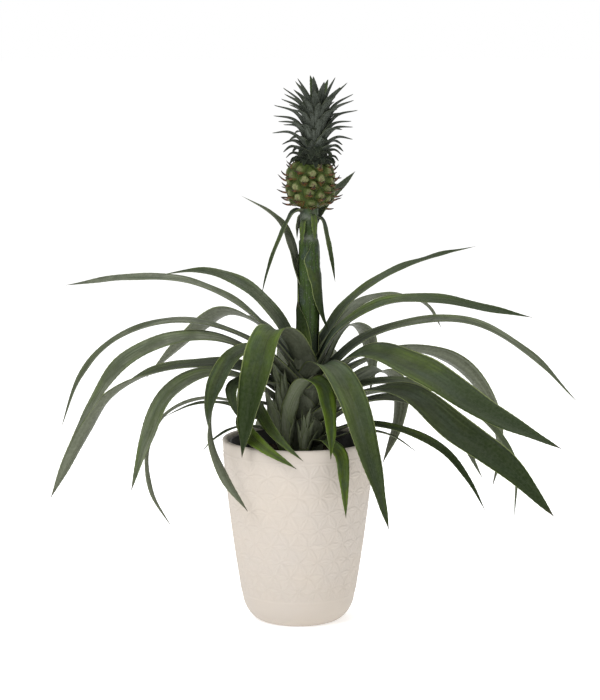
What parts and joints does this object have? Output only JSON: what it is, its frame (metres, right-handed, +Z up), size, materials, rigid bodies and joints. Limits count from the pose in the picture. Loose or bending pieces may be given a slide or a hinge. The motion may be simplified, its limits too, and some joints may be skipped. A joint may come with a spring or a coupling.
{
  "type": "potted pineapple plant",
  "caption": "Pineapple plant with long arching leaves and a small crowned fruit on a stalk, growing in a tapered cream ceramic pot with an embossed flower lattice.",
  "frame": {"origin": "centre of the pot's flat underside, on the surface that it stands on", "axes": "+Z up, -Y towards the viewer of the plant's front, +X to the viewer's right"},
  "size_m": [0.3692, 0.2192, 0.3799],
  "materials": {
    "pot_ceramic": "matte",
    "pot_plastic": "satin",
    "soil": "matte",
    "stem": "satin",
    "leaf": "satin",
    "young_leaf": "satin",
    "fruit": "satin",
    "crown_leaf": "satin"
  },
  "bodies": {
    "root": {"ceramic_pot": "pot_ceramic", "growing_pot": "pot_plastic", "soil": "soil", "stem": "stem", "leaf_01": "leaf", "leaf_02": "leaf", "leaf_03": "leaf", "leaf_04": "leaf", "leaf_05": "leaf", "leaf_06": "leaf", "leaf_07": "leaf", "leaf_08": "leaf", "leaf_09": "leaf", "leaf_10": "leaf", "leaf_11": "leaf", "leaf_12": "leaf", "leaf_13": "leaf", "leaf_14": "leaf", "leaf_15": "leaf", "leaf_16": "leaf", "leaf_17": "leaf", "leaf_18": "leaf", "leaf_19": "leaf", "leaf_20": "leaf", "leaf_21": "leaf", "leaf_22": "leaf", "leaf_23": "leaf", "leaf_24": "leaf", "leaf_25": "leaf", "leaf_26": "leaf", "leaf_27": "leaf", "leaf_28": "leaf", "leaf_29": "leaf", "leaf_30": "leaf", "leaf_31": "leaf", "leaf_32": "leaf", "leaf_33": "leaf", "leaf_34": "leaf", "leaf_35": "leaf", "leaf_36": "leaf", "leaf_37": "leaf", "stalk_leaf_1": "leaf", "stalk_leaf_2": "leaf", "stalk_leaf_3": "leaf", "stalk_leaf_4": "leaf", "stalk_leaf_5": "leaf", "side_shoot_1": "young_leaf", "side_shoot_2": "young_leaf", "fruit": "fruit", "fruit_crown": "crown_leaf"}
  },
  "joints": []
}
